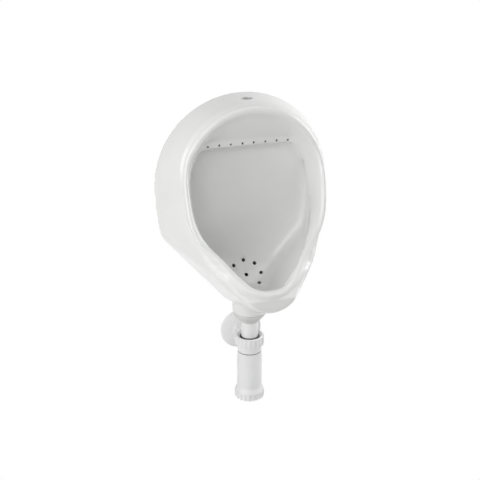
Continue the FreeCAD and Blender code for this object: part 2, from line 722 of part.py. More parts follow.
opened = boolean("Cut", "china_opened", outside, throat)
body_shape = together("china_body", [opened, lip, spigot])
undercut = common("undercut", [shell, sides, front])
doc.recompute()
rounded = doc.addObject("Part::Fillet", "undercut_rounding")
rounded.Base = undercut
rounded.Edges = [(int(name[4:]), size("bowl_radius"), size("bowl_radius"))
                 for name in edge_names(undercut, on_bowl())]
carved = body_shape
for number, hollow in enumerate([
        rounded,
        common("chamber", [chamber_shell, chamber_side]),
        common("sump", [sump_round, sump_limit]),
        common("waste_bore", [socket, below_plate]), drain, jets, inlet,
        hanger_pocket("hanger_pocket_left", -1)], start=1):
    carved = boolean("Cut", "carved_%d" % number, carved, hollow)
bowl = deliver(boolean("Cut", "bowl", carved, hanger_pocket("hanger_pocket_right", 1)))
doc.recompute()


# ---------------------------------------------------------------- hangers

def hanger(label, side):
    """A steel wall plate whose top is bent out into a tongue with a turned up end."""
    top, thick, reach = size("hanger_top"), size("hanger_thickness"), size("tongue_reach")
    foot, lip_top = top - size("hanger_length"), top + size("tongue_lip")
    corners = [(0, foot), (0, top), (thick - reach, top), (thick - reach, lip_top),
               (-reach, lip_top), (-reach, top - thick), (-thick, top - thick), (-thick, foot)]
    body = padded(label, "YZ_Plane", polygon(corners), "sizes.hanger_width",
                  "%d * sizes.hanger_spacing / 2" % side, symmetric=True)
    centre = side * size("hanger_spacing") / 2
    holes = [Part.Circle(Vector(centre, height, 0), Vector(0, 0, 1), size("screw_hole") / 2)
             for height in (size("screw_upper"), size("screw_upper") - size("screw_pitch"))]
    add_pocket(body, label + "_holes", "XZ_Plane", holes, "20", symmetric=True)
    return deliver(body)


def hook_liner(label, side):
    """A plastic saddle over a hanger's tongue, which the china rests on."""
    top, thick, reach = size("hanger_top"), size("hanger_thickness"), size("tongue_reach")
    wall, lip_top = size("liner_thickness"), size("hanger_top") + size("tongue_lip")
    corners = [(0, top), (0, top + wall), (thick - reach + wall, top + wall),
               (thick - reach + wall, lip_top + wall), (-reach - wall, lip_top + wall),
               (-reach - wall, top - thick), (-reach, top - thick), (-reach, lip_top),
               (thick - reach, lip_top), (thick - reach, top)]
    return deliver(padded(label, "YZ_Plane", polygon(corners), "sizes.hanger_width",
                          "%d * sizes.hanger_spacing / 2" % side, symmetric=True))


hanger_left = hanger("hanger_left", -1)
hanger_right = hanger("hanger_right", 1)
liner_left = hook_liner("hook_liner_left", -1)
liner_right = hook_liner("hook_liner_right", 1)

# ---------------------------------------------------------------- round parts


def facing_out(body):
    """Lays a round body down, so that its heights become distances from the wall."""
    body.Placement = Placement(Vector(0, 0, 0), Rotation(Vector(1, 0, 0), 90))
    return body


def add_ribs(body, name, radius, count, foot, top):
    """Grip ribs round a body, from a height to a height above its own origin."""
    inner = radius - size("rib_depth") - 0.6
    half_width = math.pi * radius / size(count) / 2
    rib = add_pad(body, name, "XY_Plane",
                  polygon([(-half_width, inner), (half_width, inner),
                           (0.75 * half_width, radius), (-0.75 * half_width, radius)]),
                  "(%s) - (%s)" % (top, foot), foot)
    ring_of(body, "sizes." + count)
    return rib


# ---------------------------------------------------------------- waste socket and tail pipe

pipe, wall = size("pipe_radius"), size("pipe_wall")
running, free = size("running_gap"), size("free_gap")
fitted = size("fitted_gap")

socket_bore = size("socket_bore") / 2
sleeve_top, sleeve_foot = size("sleeve_top"), size("sleeve_foot")
sleeve_outer, sleeve_rim = socket_outer - socket_edge, size("sleeve_rim")
sleeve = deliver(revolved("outlet_sleeve", [
    (pipe + fitted, sleeve_foot), (pipe + size("sleeve_lip"), sleeve_foot),
    (sleeve_outer, socket_foot - sleeve_rim), (sleeve_outer, socket_foot),
    (socket_bore - fitted, socket_foot), (socket_bore - fitted, sleeve_top - 2),
    (socket_bore - 1.5, sleeve_top), (pipe + fitted, sleeve_top)], "sizes.socket_depth"))
tail_top, tail_foot = size("tail_top"), size("tail_foot")
tail_pipe = deliver(revolved("tail_pipe", [
    (pipe - wall, tail_foot), (pipe, tail_foot), (pipe, tail_top), (pipe - wall, tail_top)],
    "sizes.trap_depth"))

# ---------------------------------------------------------------- trap head

seal_outer, seal_foot = size("seal_radius"), size("seal_foot")
seal_top = seal_foot + size("seal_height")
head_top, head_foot = size("head_top"), size("head_foot")
band, neck = size("head_band_radius") - size("rib_depth"), size("head_neck_radius")
band_foot, deck = size("head_band_foot"), size("chamber_top")
head_inside = band - size("head_wall")
dish = head_top - size("head_top_dish")
cup = size("dip_cup_radius")
collar = cup + size("dip_wall") + 0.3
skirt = size("head_skirt_bore") / 2

inlet_seal = deliver(revolved("inlet_seal", [
    (pipe, seal_foot), (seal_outer, seal_foot), (seal_outer, seal_top),
    (pipe + 1.6, head_top - 1.2), (pipe, head_top - 1.2)], "sizes.trap_depth"))

trap_head = revolved("trap_head", [
    (0, head_top), (band - 0.8, head_top), (band, head_top - 0.8), (band, band_foot),
    (neck, band_foot - 1.2), (neck, head_foot), (0, head_foot)], "sizes.trap_depth")
add_pad(trap_head, "branch_neck", "XZ_Plane",
        [Part.Circle(Vector(0, 0, 0), Vector(0, 0, 1), size("branch_radius"))],
        "sizes.trap_depth - sizes.branch_reach - sizes.branch_length - 18 + 1",
        "-(sizes.trap_depth - sizes.branch_reach - sizes.branch_length + 1)")
add_pad(trap_head, "branch_end", "XZ_Plane",
        [Part.Circle(Vector(0, 0, 0), Vector(0, 0, 1), size("branch_thread_radius"))],
        "sizes.branch_length", "-(sizes.trap_depth - sizes.branch_reach)")
add_ribs(trap_head, "head_rib", size("head_band_radius"), "rib_count",
         "sizes.head_band_foot", "sizes.head_top - 1")
hollowed(trap_head, "head_socket", [
    (0, deck - 1), (pipe + free, deck - 1), (pipe + free, seal_foot), (seal_outer, seal_foot),
    (seal_outer, seal_top), (head_inside - 1.5, dish), (head_inside, head_top + 1),
    (0, head_top + 1)])
hollowed(trap_head, "head_chamber", [
    (0, head_foot - 1), (skirt, head_foot - 1), (skirt, band_foot - 0.5),
    (head_inside, band_foot + 2), (head_inside, deck), (collar, deck),
    (collar, deck - size("collar_drop")), (cup, deck - size("collar_drop")), (cup, deck),
    (0, deck)])
add_pocket(trap_head, "branch_waterway", "XZ_Plane",
           [Part.Circle(Vector(0, 0, 0), Vector(0, 0, 1), size("branch_bore"))],
           "sizes.trap_depth - sizes.branch_reach - %s" % (collar + 1.5),
           "-(sizes.trap_depth - sizes.branch_reach)", flipped=True)
add_pocket(trap_head, "branch_socket", "XZ_Plane",
           [Part.Circle(Vector(0, 0, 0), Vector(0, 0, 1), pipe)],
           "sizes.branch_length", "-(sizes.trap_depth - sizes.branch_reach)", flipped=True)
deliver(trap_head)

dip, dip_wall = size("dip_radius"), size("dip_wall")
cup_foot, funnel_foot = size("dip_cup_foot"), size("dip_funnel_foot")
dip_tube = deliver(revolved("dip_tube", [
    (cup - dip_wall, deck), (cup, deck), (cup, cup_foot), (dip, funnel_foot),
    (dip, size("dip_foot")), (dip - dip_wall, size("dip_foot")),
    (dip - dip_wall, funnel_foot + 0.6), (cup - dip_wall, cup_foot + 0.6)], "sizes.trap_depth"))

# ---------------------------------------------------------------- bottle and its cap

bottle_outer, bottle_wall = size("bottle_radius"), size("bottle_wall")
bottle_neck, ledge = size("neck_radius"), size("bottle_ledge")
shoulder_height = size("bottle_shoulder")
collar_foot, cap_neck = size("collar_foot"), size("cap_neck_radius")
cap_outer, cap_base = size("cap_radius"), size("cap_radius") - size("rib_depth")
spigot_foot, cap_foot = size("spigot_foot"), size("cap_foot")
cap_inside = cap_foot + size("cap_floor")

bottle_seal = deliver(revolved("bottle_seal", [
    (bottle_neck + running, ledge + free), (neck - 0.6, ledge + free),
    (neck - 0.6, head_foot - free), (bottle_neck + running, head_foot - free)],
    "sizes.trap_depth"))
bottle = deliver(revolved("bottle", [
    (bottle_neck - bottle_wall, size("neck_top")), (bottle_neck, size("neck_top")),
    (bottle_neck, ledge), (neck - 0.4, ledge), (bottle_outer, shoulder_height),
    (bottle_outer, size("collar_top")), (cap_outer - 0.3, collar_foot + 1.5),
    (cap_outer - 0.3, collar_foot), (cap_neck, collar_foot), (cap_neck, spigot_foot),
    (bottle_outer - bottle_wall, spigot_foot), (bottle_outer - bottle_wall, shoulder_height),
    (bottle_neck - bottle_wall, shoulder_height + 5)], "sizes.trap_depth"))

cap_seal = deliver(revolved("cap_seal", [
    (bottle_outer - bottle_wall, cap_inside + free), (cap_neck - free, cap_inside + free),
    (cap_neck - free, spigot_foot - free), (bottle_outer - bottle_wall, spigot_foot - free)],
    "sizes.trap_depth"))
cleaning_cap = revolved("cleaning_cap", [
    (0, cap_foot), (cap_base - 1.5, cap_foot), (cap_base, cap_foot + 1.5),
    (cap_base, collar_foot - free), (cap_neck + running, collar_foot - free),
    (cap_neck + running, cap_inside), (0, cap_inside)], "sizes.trap_depth")
add_ribs(cleaning_cap, "cap_rib", cap_outer, "rib_count", "sizes.cap_foot + 1",
         "sizes.collar_foot - sizes.free_gap")
deliver(cleaning_cap)

# ---------------------------------------------------------------- outlet to the wall

nut_foot = size("nut_back")
nut_inside = nut_foot + size("nut_flange")
ring_start = nut_inside + free
cone_start = ring_start + size("friction_ring")
cone_end = cone_start + size("cone_seal")
thread = size("branch_thread_radius")
slip = pipe + running

friction_ring = deliver(facing_out(revolved("outlet_friction_ring", [
    (slip, ring_start), (thread - free, ring_start), (thread - free, cone_start),
    (slip, cone_start)])))
cone_seal = deliver(facing_out(revolved("outlet_cone_seal", [
    (slip, cone_start), (thread - free, cone_start), (thread - free, cone_end - 1),
    (slip + 1, cone_end), (slip, cone_end)])))
nut_base = size("nut_radius") - size("rib_depth")
nut_end = nut_foot + size("nut_length")
outlet_nut = revolved("outlet_nut", [
    (pipe + free, nut_foot), (nut_base - 1.5, nut_foot), (nut_base, nut_foot + 1.5),
    (nut_base, nut_end), (thread + running, nut_end), (thread + running, nut_inside),
    (pipe + free, nut_inside)])
add_ribs(outlet_nut, "nut_rib", size("nut_radius"), "nut_rib_count", "sizes.nut_back + 1.2",
         "sizes.nut_back + sizes.nut_length")
deliver(facing_out(outlet_nut))

rim, shell_wall = size("rosette_edge"), size("rosette_wall")
rosette_radius, rosette_top = size("rosette_radius"), size("rosette_height")
crown = rosette_top - size("collar_height")
rosette_collar = size("rosette_collar")
rosette = deliver(facing_out(revolved("rosette", [
    (rosette_radius, 0), (rosette_radius, rim - 1), (rosette_radius - 1.2, rim),
    (rosette_radius - 9, rim + 0.55 * (crown - rim)), (rosette_collar + 3, crown),
    (rosette_collar, crown), (rosette_collar - 0.5, rosette_top), (slip, rosette_top),
    (slip, crown - shell_wall), (rosette_collar + 2.6, crown - shell_wall),
    (rosette_radius - 9.4, rim + 0.55 * (crown - rim) - shell_wall),
    (rosette_radius - shell_wall, 0)])))
outlet_pipe = deliver(facing_out(revolved("outlet_pipe", [
    (pipe - wall, -size("spigot_reach")), (size("spigot_radius"), -size("spigot_reach")),
    (size("spigot_radius"), size("spigot_start")), (pipe, size("spigot_start")),
    (pipe, size("branch_reach") + size("branch_length")),
    (pipe - wall, size("branch_reach") + size("branch_length"))])))

doc.recompute()

# ---------------------------------------------------------------- checks and export

for item in doc.Objects:
    if "Invalid" in item.State or "Error" in item.State:
        raise ValueError("%s didn't build: %s" % (item.Name, item.State))
for item in PARTS:
    if item.Shape.isNull() or not item.Shape.isValid():
        raise ValueError("%s has no valid shape" % item.Label)

os.makedirs("parts", exist_ok=True)
for item in PARTS:
    item.Shape.exportStep("parts/%s.step" % item.Label)
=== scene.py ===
"""Looks for a wall hung urinal: glazed china, a moulded plastic trap, rubber seals and steel
hangers, with a white studio round them. Every length is in metres, in the model's own frame."""

import math

import bmesh
import bpy
import numpy
from bpy.props import FloatProperty, FloatVectorProperty, IntProperty, PointerProperty
from mathutils import Matrix, Vector


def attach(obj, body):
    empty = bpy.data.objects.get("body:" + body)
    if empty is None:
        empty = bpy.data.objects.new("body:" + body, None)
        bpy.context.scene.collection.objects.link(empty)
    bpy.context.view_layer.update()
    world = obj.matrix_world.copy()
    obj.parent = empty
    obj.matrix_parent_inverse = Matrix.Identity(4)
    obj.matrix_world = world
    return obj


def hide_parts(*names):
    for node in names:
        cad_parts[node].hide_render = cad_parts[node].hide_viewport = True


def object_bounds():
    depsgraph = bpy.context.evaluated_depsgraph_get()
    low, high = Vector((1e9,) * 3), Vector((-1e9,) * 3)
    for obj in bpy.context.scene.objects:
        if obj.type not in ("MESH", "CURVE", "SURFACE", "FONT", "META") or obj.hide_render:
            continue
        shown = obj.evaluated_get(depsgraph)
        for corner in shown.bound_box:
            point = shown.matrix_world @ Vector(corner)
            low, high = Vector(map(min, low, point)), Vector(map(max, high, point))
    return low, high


bl_info = {
    "name": "Wall Hung Urinal",
    "version": (1, 0, 0),
    "blender": (4, 5, 0),
    "location": "View3D > Sidebar > Urinal",
    "description": "Gives the urinal's china, trap and hangers their finishes "
                   "and builds its studio",
    "category": "Object",
}

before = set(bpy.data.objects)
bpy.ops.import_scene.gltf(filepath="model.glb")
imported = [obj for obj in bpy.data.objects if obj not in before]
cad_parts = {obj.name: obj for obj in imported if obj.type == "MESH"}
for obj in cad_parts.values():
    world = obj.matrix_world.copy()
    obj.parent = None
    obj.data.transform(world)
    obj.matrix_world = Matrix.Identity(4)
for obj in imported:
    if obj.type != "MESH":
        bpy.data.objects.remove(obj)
CAD_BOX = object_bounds()


# ---------------------------------------------------------------- settings

class ChinaSettings(bpy.types.PropertyGroup):
    """Finish of the glazed china."""
    glaze: FloatVectorProperty(
        name="Glaze", description="Colour of the glaze", subtype="COLOR", size=3,
        min=0.0, max=1.0, default=(0.83, 0.83, 0.825))
    thin_glaze: FloatVectorProperty(
        name="Thin glaze", description="Colour where the glaze is a little thinner",
        subtype="COLOR", size=3, min=0.0, max=1.0, default=(0.80, 0.80, 0.79))
    ripple: FloatProperty(
        name="Ripple", description="Height of the glaze's slow waves", subtype="DISTANCE",
        unit="LENGTH", min=0.0, max=0.001, default=0.00006)
    skin_step: FloatProperty(
        name="Skin step", description="Size of the squares that the glazed skin is made of",
        subtype="DISTANCE", unit="LENGTH", min=0.001, max=0.005, default=0.0016)
    edge_passes: IntProperty(
        name="Edge passes", description="How often every edge is relaxed", min=0, default=2)
    lip_passes: IntProperty(
        name="Lip passes", description="How often the lip and its shoulder are relaxed",
        min=0, default=40)
    last_passes: IntProperty(
        name="Last passes", description="How often the outside is relaxed at the end",
        min=0, default=16)
    chin_passes: IntProperty(
        name="Chin passes", description="How often the chin under the lip is relaxed",
        min=0, default=260)
    bowl_passes: IntProperty(
        name="Bowl passes", description="How often the inside of the bowl is relaxed",
        min=0, default=1000)
    chin_swell: FloatProperty(
        name="Chin swell", description="How far the relaxed chin is drawn out again",
        subtype="DISTANCE", unit="LENGTH", min=0.0, max=0.01, default=0.002)
    lip_swell: FloatProperty(
        name="Lip swell", description="How far the relaxed lip is drawn out again",
        subtype="DISTANCE", unit="LENGTH", min=0.0, max=0.005, default=0.0012)
    lip_dip: FloatProperty(
        name="Lip dip", description="How far the lip dips at its lowest point",
        subtype="DISTANCE", unit="LENGTH", min=0.0, max=0.01, default=0.004)


class PlasticSettings(bpy.types.PropertyGroup):
    """Finish of the moulded trap."""
    body: FloatVectorProperty(
        name="Plastic", description="Colour of the moulded plastic", subtype="COLOR", size=3,
        min=0.0, max=1.0, default=(0.87, 0.87, 0.87))
    sleeve: FloatVectorProperty(
        name="Sleeve", description="Colour of the soft sleeve", subtype="COLOR", size=3,
        min=0.0, max=1.0, default=(0.62, 0.62, 0.61))
    rubber: FloatVectorProperty(
        name="Rubber", description="Colour of the sealing rings", subtype="COLOR", size=3,
        min=0.0, max=1.0, default=(0.045, 0.045, 0.045))
    grain: FloatProperty(
        name="Grain", description="Height of the mould's fine grain", subtype="DISTANCE",
        unit="LENGTH", min=0.0, max=0.001, default=0.00003)


class StudioSettings(bpy.types.PropertyGroup):
    """The camera and the studio's light."""
    camera_place: FloatVectorProperty(
        name="Camera", description="Where the camera stands", subtype="TRANSLATION",
        unit="LENGTH", size=3, default=(-0.5213, -1.6782, 0.9138))
    camera_turn: FloatProperty(
        name="Turn", description="How far the camera looks to the right of straight ahead",
        subtype="ANGLE", unit="ROTATION", default=math.radians(17.2158))
    camera_dip: FloatProperty(
        name="Dip", description="How far the camera looks down", subtype="ANGLE",
        unit="ROTATION", default=math.radians(22.464))
    lens: FloatProperty(
        name="Lens", description="Focal length in millimetres", min=10.0, default=75.0)
    daylight: FloatProperty(
        name="Surroundings", description="Brightness of the white room round the object",
        min=0.0, default=0.26)
    left_power: FloatProperty(
        name="Left light", description="Power of the soft light at the left", subtype="POWER",
        min=0.0, default=6.4)
    low_power: FloatProperty(
        name="Low light", description="Power of the soft light low at the left in front",
        subtype="POWER", min=0.0, default=2.4)
    front_power: FloatProperty(
        name="Front light", description="Power of the soft light high in front",
        subtype="POWER", min=0.0, default=5.4)
    right_power: FloatProperty(
        name="Right light", description="Power of the strong light at the right",
        subtype="POWER", min=0.0, default=10.5)
    top_power: FloatProperty(
        name="Top light", description="Power of the soft light overhead", subtype="POWER",
        min=0.0, default=3.8)


# ---------------------------------------------------------------- shader helpers

# Sockets of a Mix node that is set to colours: they share their names with the other kinds.
MIX_FACTOR, MIX_FIRST, MIX_SECOND, MIX_RESULT = 0, 6, 7, 2


def new_material(name):
    """An empty node material with a Principled BSDF on its output."""
    material = bpy.data.materials.new(name)
    material.use_nodes = True
    tree = material.node_tree
    tree.nodes.clear()
    output = tree.nodes.new("ShaderNodeOutputMaterial")
    shader = tree.nodes.new("ShaderNodeBsdfPrincipled")
    tree.links.new(shader.outputs["BSDF"], output.inputs["Surface"])
    return material, tree, shader


def object_place(tree):
    """The output that gives a point's place in the object's own frame."""
    return tree.nodes.new("ShaderNodeTexCoord").outputs["Object"]


def surface_group():
    """Slow and fine unevenness that glaze and moulded plastic share.

    It puts out a mask of slow patches from 0 to 1, and a bumped normal.
    """
    name = "surface_unevenness"
    if name in bpy.data.node_groups:
        return bpy.data.node_groups[name]
    group = bpy.data.node_groups.new(name, "ShaderNodeTree")
    face = group.interface
    face.new_socket("Place", in_out="INPUT", socket_type="NodeSocketVector")
    for label, value in (("Patch Scale", 9.0), ("Wave Scale", 30.0), ("Wave Height", 0.0001),
                         ("Grain Scale", 900.0), ("Grain Height", 0.00001)):
        face.new_socket(label, in_out="INPUT", socket_type="NodeSocketFloat").default_value = value
    face.new_socket("Patches", in_out="OUTPUT", socket_type="NodeSocketFloat")
    face.new_socket("Normal", in_out="OUTPUT", socket_type="NodeSocketVector")
    nodes, links = group.nodes, group.links
    entry, leave = nodes.new("NodeGroupInput"), nodes.new("NodeGroupOutput")

    def noise(scale, detail):
        texture = nodes.new("ShaderNodeTexNoise")
        texture.inputs["Detail"].default_value = detail
        links.new(entry.outputs["Place"], texture.inputs["Vector"])
        links.new(entry.outputs[scale], texture.inputs["Scale"])
        return texture.outputs["Fac"]

    spread = nodes.new("ShaderNodeMapRange")
    spread.interpolation_type = "SMOOTHSTEP"
    spread.inputs["From Min"].default_value = 0.35
    spread.inputs["From Max"].default_value = 0.65
    links.new(noise("Patch Scale", 3.0), spread.inputs["Value"])
    links.new(spread.outputs["Result"], leave.inputs["Patches"])

    waves, grain = nodes.new("ShaderNodeBump"), nodes.new("ShaderNodeBump")
    for bump, scale, height in ((waves, "Wave Scale", "Wave Height"),
                                (grain, "Grain Scale", "Grain Height")):
        bump.inputs["Strength"].default_value = 1.0
        links.new(noise(scale, 1.0), bump.inputs["Height"])
        links.new(entry.outputs[height], bump.inputs["Distance"])
    links.new(waves.outputs["Normal"], grain.inputs["Normal"])
    links.new(grain.outputs["Normal"], leave.inputs["Normal"])
    return group


def add_unevenness(tree, shader, **values):
    """Places the shared group in a material, joins its normal and returns its patches."""
    node = tree.nodes.new("ShaderNodeGroup")
    node.node_tree = surface_group()
    for label, value in values.items():
        node.inputs[label.replace("_", " ")].default_value = value
    tree.links.new(object_place(tree), node.inputs["Place"])
    tree.links.new(node.outputs["Normal"], shader.inputs["Normal"])
    return node.outputs["Patches"]


def mix_by(tree, mask, first, second):
    """A colour between two by a mask."""
    mix = tree.nodes.new("ShaderNodeMix")
    mix.data_type = "RGBA"
    mix.inputs[MIX_FIRST].default_value = (*first, 1.0)
    mix.inputs[MIX_SECOND].default_value = (*second, 1.0)
    tree.links.new(mask, mix.inputs[MIX_FACTOR])
    return mix.outputs[MIX_RESULT]


def range_by(tree, mask, low, high):
    """A value that runs from low to high with a mask."""
    node = tree.nodes.new("ShaderNodeMapRange")
    node.inputs["To Min"].default_value = low
    node.inputs["To Max"].default_value = high
    tree.links.new(mask, node.inputs["Value"])
    return node.outputs["Result"]


def dress(node, material):
    """Puts one material on the whole of a node."""
    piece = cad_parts[node]
    piece.data.materials.clear()
    piece.data.materials.append(material)


# ---------------------------------------------------------------- materials

PLASTIC_SHADE = 0.965                           # the plastic's darker patches
BLOOM_GAIN, BLOOM_LIFT = 1.12, 0.008            # how much paler the rubber's bloom is
BLOOM_ROUGHNESS = 0.08                          # and how much rougher the rest is


def glazed_china():
    """White vitreous china under a clear, glossy glaze with slow waves in it."""
    settings = bpy.context.scene.urinal_china
    material, tree, shader = new_material("glazed_china")
    patches = add_unevenness(tree, shader, Patch_Scale=7.0, Wave_Scale=22.0,
                             Wave_Height=settings.ripple, Grain_Scale=420.0,
                             Grain_Height=0.000004)
    tree.links.new(mix_by(tree, patches, settings.thin_glaze, settings.glaze),
                   shader.inputs["Base Color"])
    tree.links.new(range_by(tree, patches, low=0.23, high=0.18), shader.inputs["Roughness"])
    shader.inputs["IOR"].default_value = 1.5
    shader.inputs["Coat Weight"].default_value = 0.25
    shader.inputs["Coat Roughness"].default_value = 0.10
    return material


def wet_china():
    """Near-black painted shade in the chamber under the drain and in the flush jets."""
    material, tree, shader = new_material("wet_china")
    patches = add_unevenness(tree, shader, Patch_Scale=40.0, Wave_Scale=90.0,
                             Wave_Height=0.0002, Grain_Scale=900.0, Grain_Height=0.00005)
    # Painted shade: near-black in slow random patches, so that the holes read dark.
    tree.links.new(mix_by(tree, patches, (0.035, 0.033, 0.03), (0.07, 0.066, 0.06)),
                   shader.inputs["Base Color"])
    tree.links.new(range_by(tree, patches, low=0.55, high=0.3), shader.inputs["Roughness"])
    return material


def moulded_plastic():
    """Satin white polypropylene."""
    settings = bpy.context.scene.urinal_plastic
    material, tree, shader = new_material("moulded_plastic")
    patches = add_unevenness(tree, shader, Patch_Scale=30.0, Wave_Scale=60.0,
                             Wave_Height=0.00003, Grain_Scale=1600.0,
                             Grain_Height=settings.grain)
    darker = [PLASTIC_SHADE * value for value in settings.body]
    tree.links.new(mix_by(tree, patches, darker, settings.body), shader.inputs["Base Color"])
    tree.links.new(range_by(tree, patches, low=0.36, high=0.28),
                   shader.inputs["Roughness"])
    shader.inputs["IOR"].default_value = 1.49
    return material


def soft_rubber(name, colour, roughness):
    """Matt rubber with a fine bloom."""
    material, tree, shader = new_material(name)
    patches = add_unevenness(tree, shader, Patch_Scale=60.0, Wave_Scale=120.0,
                             Wave_Height=0.00004, Grain_Scale=2500.0, Grain_Height=0.00004)
    bloom = [min(1.0, BLOOM_GAIN * value + BLOOM_LIFT) for value in colour]
    tree.links.new(mix_by(tree, patches, colour, bloom), shader.inputs["Base Color"])
    tree.links.new(range_by(tree, patches, roughness + BLOOM_ROUGHNESS, roughness),
                   shader.inputs["Roughness"])
    return material


def plated_steel():
    """Zinc plated steel with its crystalline patches."""
    material, tree, shader = new_material("plated_steel")
    add_unevenness(tree, shader, Patch_Scale=80.0, Wave_Scale=150.0, Wave_Height=0.00003,
                   Grain_Scale=1800.0, Grain_Height=0.00001)
    cells = tree.nodes.new("ShaderNodeTexVoronoi")
    cells.inputs["Scale"].default_value = 260.0
    tree.links.new(object_place(tree), cells.inputs["Vector"])
    tree.links.new(mix_by(tree, cells.outputs["Distance"], (0.55, 0.56, 0.58),
                          (0.74, 0.75, 0.77)), shader.inputs["Base Color"])
    tree.links.new(range_by(tree, cells.outputs["Distance"], low=0.42, high=0.28),
                   shader.inputs["Roughness"])
    shader.inputs["Metallic"].default_value = 1.0
    return material


# ---------------------------------------------------------------- the glazed skin

# Places and sizes that the skin takes from the model of the china.
DRAIN_PLACE = Vector((0.0, -0.036, 0.1305))     # centre of the pierced slope
DRAIN_SLOPE = math.radians(43.0)                # the slope's angle off level
DRAIN_RING, DRAIN_COUNT = 0.029, 8              # the ring of holes round the one in the centre
DRAIN_HOLE = 0.0035                             # radius of a hole
DRAIN_PLATE = 0.007                             # thickness of the pierced slope
JET_PLACE = Vector((0.0, -0.045, 0.392))        # middle of the row of flush jets
JET_TURN = math.radians(-50.0)                  # turn of a jet's axis about X
JET_PITCH, JET_COUNT = 0.0214, 8                # distance between two jets, and their number
JET_HOLE = 0.0015                               # radius of a jet
INLET_PLACE, INLET_REACH = Vector((0.0, -0.036)), 0.014
INLET_FOOT = 0.45                               # the china round the inlet is above this
SOCKET_PLACE, SOCKET_REACH, SOCKET_TOP = Vector((0.0, -0.058)), 0.036, 0.104
SUMP_PLACE, SUMP_REACH = Vector((0.0, -0.024, 0.117)), 0.046    # the chamber under the slope
BOWL_MIDDLE = 0.30                              # height of the mouth's middle
BOWL_BACK = -0.010                              # y that the bowl's inside stays in front of
CREST_TOP, CREST_DEPTH = 0.397, 0.082           # height of the crest's top, distance from the wall
CREST_LEAN = 0.306                              # how far it comes forward for each metre down
CHAMBER_FOOT = 0.393                            # height of the flush chamber's foot
CHAMBER_TOP, CHAMBER_DEPTH = 0.396, 0.040       # where its front wall starts
CHAMBER_LEAN = 0.387                            # how far that wall leans forward as it rises
LEDGE_HEIGHTS, LEDGE_DEPTHS = (0.380, 0.404), (-0.056, -0.030)  # the ledge with the jets
LEDGE_HALF = 0.082                              # half of its width

# The skin before and after the remesh.
MERGE_DISTANCE = 1e-6                           # corners nearer than this are one
PLUG_MARGIN = 0.0008                            # how much wider a plug is than its hole
JET_PLUG_REACH = 0.009                          # how far a jet's plug goes in
DRAIN_DRILL = (-DRAIN_PLATE - 0.005, 0.015)     # from where to where the drills run
JET_DRILL = (-0.012, 0.016)
ROD_SIDES = 32                                  # sides of a plug and of a drill
LIP_ROOT_FOOT = Vector((0.020, -0.179, 0.150))  # the clay under the lip is made up from here
LIP_ROOT_HEAD = Vector((0.066, -0.150, 0.186))  # to here, on both sides
LIP_ROOT_RADIUS, LIP_ROOT_STEPS = 0.0075, 12
WEIGHT_LEVELS = 20                              # steps in which a weight is given
RELAX_FACTOR = 0.5                              # how far one pass moves a corner

# Where the skin relaxes and moves. A pair is where a zone begins and where it is full.
BACK_FADE = (-0.026, -0.040)                    # y, off the flat back
SOCKET_FADE_UP, SOCKET_FADE_OUT = 0.02, 0.014   # lengths of the fades over and round the socket
SHOULDER_FADE = (0.38, 0.43)                    # heights, up to the upper shoulder
LOWER_WEIGHT, UPPER_WEIGHT = 0.35, 0.65         # weight everywhere, and what the shoulder adds
INSIDE_FADE = (0.0, -0.25)                      # outwardness, to the bowl's inside
INSIDE_NORMAL = -0.8                            # a normal's y on the bowl's back wall
INSIDE_CREST = (0.004, -0.022)                  # off the lip's crest, towards the wall
PLATE_BELOW = -0.004                            # the pierced slope's depth that still relaxes
LEDGE_INSIDE, LEDGE_OUTSIDE = 0.05, 0.1         # share of the weights that the ledge keeps
CHIN_ROOT, CHIN_ROOT_HALF = 0.158, 0.038        # height of the lip's root, half its level width
CHIN_ROOT_RISE = 0.03                           # how far it rises beyond that
CHIN_FADE = (0.006, -0.010)                     # off the root, downwards
CHIN_DEPTHS = (-0.100, -0.140)                  # y
CHIN_OUTWARD = (-0.5, -0.15)                    # outwardness
DIP_FOOT, DIP_HEAD = (0.157, 0.166), (0.230, 0.175)     # heights of the lip's lowest stretch
DIP_DEPTHS, DIP_SIDES = (-0.150, -0.172), (0.075, 0.02)     # y, and distance off the middle
DRAW_CREST = (-0.014, -0.002)                   # off the lip's crest, outwards
DRAW_FOOT = (0.150, 0.165)                      # heights

# The near-black painted shade in the chamber under the drain and in the jets.
SUMP_START = -0.0015                            # along the slope's normal, where it begins
JET_START, JET_REACH = -0.003, 1.1              # along a jet's bore, and in radii of the bore


def rods(places, turn, radius, low, high):
    """Round rods along their own turned Z axis, from low to high, as one mesh."""
    build = bmesh.new()
    for place in places:
        matrix = (Matrix.Translation(place) @ Matrix.Rotation(turn, 4, "X")
                  @ Matrix.Translation((0, 0, (low + high) / 2)))
        bmesh.ops.create_cone(build, cap_ends=True, segments=ROD_SIDES,
                              radius1=radius, radius2=radius, depth=high - low,
                              matrix=matrix)
    mesh = bpy.data.meshes.new("rods")
    build.to_mesh(mesh)
    build.free()
    return mesh


def turned_axis(turn):
    """The Z axis turned about X."""
    return Matrix.Rotation(turn, 3, "X") @ Vector((0.0, 0.0, 1.0))


def drain_places():
    """The centres of the drain's holes."""
    turn = Matrix.Rotation(DRAIN_SLOPE, 3, "X")
    places = [DRAIN_PLACE]
    for step in range(DRAIN_COUNT):
        angle = 2 * math.pi * step / DRAIN_COUNT
        places.append(DRAIN_PLACE + turn @ Vector((DRAIN_RING * math.sin(angle),
                                                   DRAIN_RING * math.cos(angle), 0.0)))
    return places


def jet_places():
    """The centres of the flush jets on the ledge."""
    return [JET_PLACE + Vector((JET_PITCH * (step - (JET_COUNT - 1) / 2), 0.0, 0.0))
            for step in range(JET_COUNT)]


def settle(piece):
    """Turns a piece's modifiers into its own mesh."""
    graph = bpy.context.evaluated_depsgraph_get()
    made = bpy.data.meshes.new_from_object(piece.evaluated_get(graph))
    piece.modifiers.clear()
    piece.vertex_groups.clear()
    piece.data = made


